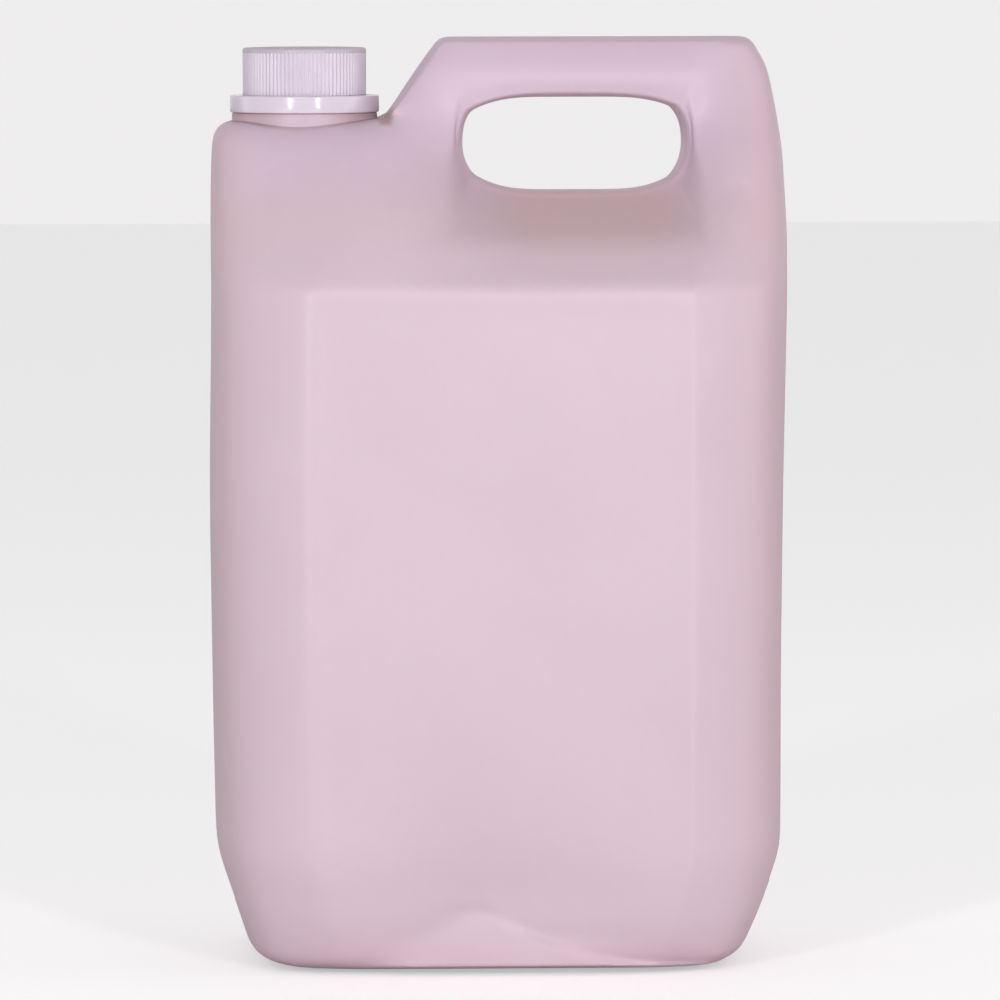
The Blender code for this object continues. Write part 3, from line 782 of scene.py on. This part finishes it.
def neck_shade_mask(tree, place, split):
    """Mask of the painted brown shade under the neck ring, round the collar's foot and in the notch."""
    offset = tree.nodes.new("ShaderNodeVectorMath")
    offset.operation = "ADD"
    offset.inputs[1].default_value = (-NECK_X * MM, 0.0, 0.0)
    tree.links.new(place.outputs["Object"], offset.inputs[0])
    flat = tree.nodes.new("ShaderNodeVectorMath")
    flat.operation = "MULTIPLY"
    flat.inputs[1].default_value = (1.0, 1.0, 0.0)
    tree.links.new(offset.outputs["Vector"], flat.inputs[0])
    reach = tree.nodes.new("ShaderNodeVectorMath")
    reach.operation = "LENGTH"
    tree.links.new(flat.outputs["Vector"], reach.inputs[0])
    radius = reach.outputs["Value"]
    collar = COLLAR_RADIUS * MM
    close = ramp(tree, radius, collar + 0.0006, collar + 0.0034, 1.0, 0.0)
    outside = ramp(tree, radius, collar - 0.0001, collar + 0.0001)
    foot = math_node(tree, "MULTIPLY", close, outside)
    height = split.outputs["Z"]
    under_ring = ramp(tree, height, COLLAR_TOP * MM - 0.0019, COLLAR_TOP * MM - 0.0008)
    near = ramp(tree, radius, collar + 0.0002, collar + 0.0004, 1.0, 0.0)
    line = math_node(tree, "MULTIPLY", math_node(tree, "MULTIPLY", under_ring, near), 0.7)
    above = ramp(tree, height, 0.240, 0.262)
    painted_shade = math_node(tree, "MULTIPLY", math_node(tree, "MAXIMUM", foot, line), above)
    across = math_node(tree, "SUBTRACT", split.outputs["X"], NECK_X * MM)
    from_middle = math_node(tree, "ABSOLUTE", across)
    painted_shade = math_node(tree, "MULTIPLY", painted_shade, ramp(tree, from_middle, 0.004, 0.016, 0.4, 1.0))
    aside = math_node(tree, "ABSOLUTE", math_node(tree, "SUBTRACT", split.outputs["X"], NOTCH_X * MM))
    crevice = math_node(tree, "MULTIPLY", ramp(tree, aside, 0.0008, 0.0034, 1.0, 0.0),
                        ramp(tree, height, 0.2655, 0.2675))
    low = ramp(tree, height, 0.2705, 0.2735, 1.0, 0.0)
    crevice = math_node(tree, "MULTIPLY", crevice, low)
    return math_node(tree, "MULTIPLY", math_node(tree, "MAXIMUM", painted_shade, crevice), 0.85)


def can_finish(grain):
    """Natural polyethylene: pink where soap lies behind the wall, lilac above it, with painted shade at
    the foot, under the hand hole, on both side edges and round the neck.
    """
    material, tree, shader = new_finish("soap_tinted_polyethylene", 0.42)
    place = tree.nodes.new("ShaderNodeTexCoord")
    split = tree.nodes.new("ShaderNodeSeparateXYZ")
    tree.links.new(place.outputs["Object"], split.inputs["Vector"])
    texture = add_grain(tree, grain, 0.06, 0.0016, 0.045)
    level = ramp(tree, split.outputs["Z"], (SOAP_LEVEL - 8.0) * MM, (SOAP_LEVEL + 12.0) * MM)
    # Painted shade: the wall darkens towards the foot, where it curves under.
    foot = ramp(tree, split.outputs["Z"], 0.0, 0.022)
    full = mix_colour(tree, foot, CAN_FOOT_SHADE_COLOUR, CAN_COLOUR)
    wall = mix_colour(tree, level, full, CAN_ABOVE_SOAP_COLOUR)
    rise = ramp(tree, split.outputs["Z"], 0.219, 0.239)
    fall = ramp(tree, split.outputs["Z"], 0.236, 0.262, 1.0, 0.0)
    band = math_node(tree, "MULTIPLY", rise, fall)
    under_hole = ramp(tree, split.outputs["X"], -0.012, 0.012, 0.25, 1.0)
    past_hole = ramp(tree, split.outputs["X"], 0.047, 0.066, 1.0, 0.2)
    band = math_node(tree, "MULTIPLY", math_node(tree, "MULTIPLY", band, under_hole), past_hole)
    wall = mix_colour(tree, math_node(tree, "MULTIPLY", band, 0.6), wall, SHADE_BAND_COLOUR)
    # Painted shade: the left edge darker, the right edge a darker, deeper pink.
    left_edge = ramp(tree, split.outputs["X"], -0.091, -0.074, 0.4, 0.0)
    wall = mix_colour(tree, left_edge, wall, LEFT_EDGE_SHADE_COLOUR)
    right_edge_shade = ramp(tree, split.outputs["X"], 0.064, 0.084, 0.0, 0.5)
    wall = mix_colour(tree, right_edge_shade, wall, RIGHT_EDGE_SHADE_COLOUR)
    cloud = ramp(tree, texture.outputs["Cloud"], 0.3, 0.7, 0.985, 1.012)
    scale = tree.nodes.new("ShaderNodeVectorMath")
    scale.operation = "SCALE"
    tree.links.new(wall, scale.inputs[0])
    tree.links.new(cloud, scale.inputs["Scale"])
    # Painted shade: brown lines under the neck ring, round the collar's foot and in the notch.
    painted_shade = neck_shade_mask(tree, place, split)
    scaled = mix_colour(tree, painted_shade, scale.outputs["Vector"], NECK_SHADE_COLOUR)
    speck = math_node(tree, "MULTIPLY", texture.outputs["Speck"], 0.3)
    coloured = mix_colour(tree, speck, scaled, SPECK_COLOUR)
    tree.links.new(coloured, shader.inputs["Base Color"])
    tree.links.new(ramp(tree, texture.outputs["Cloud"], 0.3, 0.7, 0.38, 0.48), shader.inputs["Roughness"])
    seam = ramp(tree, math_node(tree, "ABSOLUTE", split.outputs["Y"]), 0.0002, 0.0006, 1.0, 0.0)
    height = math_node(tree, "ADD", math_node(tree, "MULTIPLY", texture.outputs["Grain"], 0.12), seam)
    add_bump(tree, shader, height, 0.00022, 0.8)
    shader.inputs["Subsurface Weight"].default_value = 0.25
    shader.inputs["Subsurface Radius"].default_value = (1.0, 0.6, 0.65)
    shader.inputs["Subsurface Scale"].default_value = 0.004
    return material


def moulded_finish(name, grain, colour, shade, roughness, grain_height, painted_shade_from=None):
    """Injection-moulded plastic: one colour with soft clouds, fine grain and uneven gloss, and painted
    shade above a height when one is given.
    """
    material, tree, shader = new_finish(name, roughness)
    texture = add_grain(tree, grain, 0.012, 0.0006, 0.03)
    cloud = ramp(tree, texture.outputs["Cloud"], 0.3, 0.7)
    toned = mix_colour(tree, cloud, shade, colour)
    # Painted shade: the top above the given height is darker.
    if painted_shade_from is not None:
        place = tree.nodes.new("ShaderNodeTexCoord")
        split = tree.nodes.new("ShaderNodeSeparateXYZ")
        tree.links.new(place.outputs["Object"], split.inputs["Vector"])
        painted_top_shade = ramp(tree, split.outputs["Z"], painted_shade_from * MM, (painted_shade_from + 0.6) * MM)
        top_shade_colour = tuple(0.80 * level for level in shade)
        toned = mix_colour(tree, painted_top_shade, toned, top_shade_colour)
    tree.links.new(toned, shader.inputs["Base Color"])
    tree.links.new(ramp(tree, texture.outputs["Cloud"], 0.3, 0.7, roughness - 0.05, roughness + 0.06),
                   shader.inputs["Roughness"])
    add_bump(tree, shader, texture.outputs["Grain"], grain_height)
    return material


def soap_finish(grain):
    """Pearly liquid soap, with faint swirls and a glossy still surface."""
    material, tree, shader = new_finish("pearly_pink_soap", 0.12)
    texture = add_grain(tree, grain, 0.02, 0.004, 0.01)
    swirl = ramp(tree, texture.outputs["Cloud"], 0.35, 0.65)
    tree.links.new(mix_colour(tree, swirl, *SOAP_COLOURS), shader.inputs["Base Color"])
    add_bump(tree, shader, texture.outputs["Cloud"], 0.0002, 0.4)
    shader.inputs["Coat Weight"].default_value = 0.4
    return material


# ======================= stage =======================

# Name, azimuth, height, distance, size, power and colour; azimuth 0 is straight in front.
LIGHTS = (
    ("key_left", -24.0, 0.65, 2.2, (0.14, 1.1), 16.5, (1.0, 1.0, 1.0)),
    ("key_right", 18.4, 0.65, 2.2, (0.14, 1.1), 15.5, (1.0, 1.0, 1.0)),
    ("fill_right", 85.0, 0.5, 2.0, (0.7, 1.0), 6.5, (1.0, 0.88, 0.91)),
    ("fill_left", -104.0, 0.5, 2.0, (0.5, 1.0), 2.8, (0.99, 0.94, 0.97)),
)
LIGHT_TARGET = Vector((0.0, 0.0, 0.15))
FLOOR_SIZE = 6000.0                # millimetres, half a side
FLOOR_GLOW = 0.44                  # keeps the floor pale where the camera sees it
CAMERA_AIM = Vector((0.0005, 0.0, 0.1454))
CAMERA_DISTANCE = 2.6
CAMERA_AZIMUTH = -2.0
CAMERA_ELEVATION = 4.2
CAMERA_ROLL = 0.1
SENSOR_WIDTH = 36.0
VIEW_HALF_WIDTH = 0.1605           # half of what the camera takes in at the aim, in metres


def area_light(name, azimuth, height, distance, size, power, colour):
    """Hang a soft box that faces the can."""
    light = bpy.data.lights.new(name, "AREA")
    light.shape = "RECTANGLE"
    light.size, light.size_y = size
    light.energy = power
    light.color = colour
    lamp = bpy.data.objects.new(name, light)
    bpy.context.scene.collection.objects.link(lamp)
    turn = math.radians(azimuth)
    lamp.location = (distance * math.sin(turn), -distance * math.cos(turn), height)
    lamp.rotation_euler = (LIGHT_TARGET - lamp.location).to_track_quat("-Z", "Y").to_euler()
    return lamp


def stage():
    """Set the pale floor, the soft lights and the camera."""
    bm = bmesh.new()
    bmesh.ops.create_grid(bm, x_segments=1, y_segments=1, size=FLOOR_SIZE)
    floor_finish, tree, shader = new_finish("pale_floor", 0.7, 0.2)
    shader.inputs["Base Color"].default_value = (0.72, 0.72, 0.72, 1.0)
    shader.inputs["Emission Color"].default_value = (1.0, 1.0, 1.0, 1.0)
    path = tree.nodes.new("ShaderNodeLightPath")
    seen = math_node(tree, "MULTIPLY", path.outputs["Is Camera Ray"], FLOOR_GLOW)
    tree.links.new(seen, shader.inputs["Emission Strength"])
    floor = new_piece("floor", bm, floor_finish)
    floor.location.z = -0.0005

    world = bpy.data.worlds.new("studio")
    bpy.context.scene.world = world
    world.use_nodes = True
    tree = world.node_tree
    background = tree.nodes["Background"]
    background.inputs["Color"].default_value = (1.0, 0.985, 0.99, 1.0)
    place = tree.nodes.new("ShaderNodeTexCoord")
    split = tree.nodes.new("ShaderNodeSeparateXYZ")
    tree.links.new(place.outputs["Generated"], split.inputs["Vector"])
    glow = ramp(tree, split.outputs["Y"], 0.3, 0.95, 0.38, 0.86)
    tree.links.new(glow, background.inputs["Strength"])

    for light in LIGHTS:
        area_light(*light)

    camera_data = bpy.data.cameras.new("camera")
    camera = bpy.data.objects.new("camera", camera_data)
    bpy.context.scene.collection.objects.link(camera)
    azimuth = math.radians(CAMERA_AZIMUTH)
    elevation = math.radians(CAMERA_ELEVATION)
    back = Vector((math.sin(azimuth) * math.cos(elevation), -math.cos(azimuth) * math.cos(elevation),
                   math.sin(elevation)))
    camera.location = CAMERA_AIM + back * CAMERA_DISTANCE
    turn = (CAMERA_AIM - camera.location).to_track_quat("-Z", "Y").to_matrix()
    roll = Matrix.Rotation(-math.radians(CAMERA_ROLL), 3, "Z")
    camera.rotation_euler = (turn @ roll).to_euler()
    camera_data.sensor_width = SENSOR_WIDTH
    camera_data.lens = SENSOR_WIDTH / 2.0 * CAMERA_DISTANCE / VIEW_HALF_WIDTH
    bpy.context.scene.camera = camera
    bpy.context.scene.view_settings.view_transform = "Standard"


def main():
    grain = grain_group()
    can_plastic = can_finish(grain)
    # The cap's top above its ribs gets painted shade.
    cap_plastic = moulded_finish("cap_off_white", grain, *CAP_COLOURS, 0.38, 0.00004, RIB_TOP - 0.2)
    ring_plastic = moulded_finish("ring_off_white", grain, *RING_COLOURS, 0.16, 0.00001)
    foam = moulded_finish("liner_foam", grain, *FOAM_COLOURS, 0.8, 0.0002)
    soap = soap_finish(grain)

    can = can_moulding(can_plastic)
    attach(can, "can")
    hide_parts("can_body")

    ring = neck_ring(ring_plastic)
    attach(ring, "can")
    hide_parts("tamper_ring")

    cap = ribbed_cap(cap_plastic)
    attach(cap, "cap")
    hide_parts("screw_cap")

    liner = liner_disc(foam)
    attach(liner, "liner")
    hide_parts("cap_liner")

    fill = soap_body(soap)
    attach(fill, "can")
    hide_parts("soap_fill")

    stage()


main()
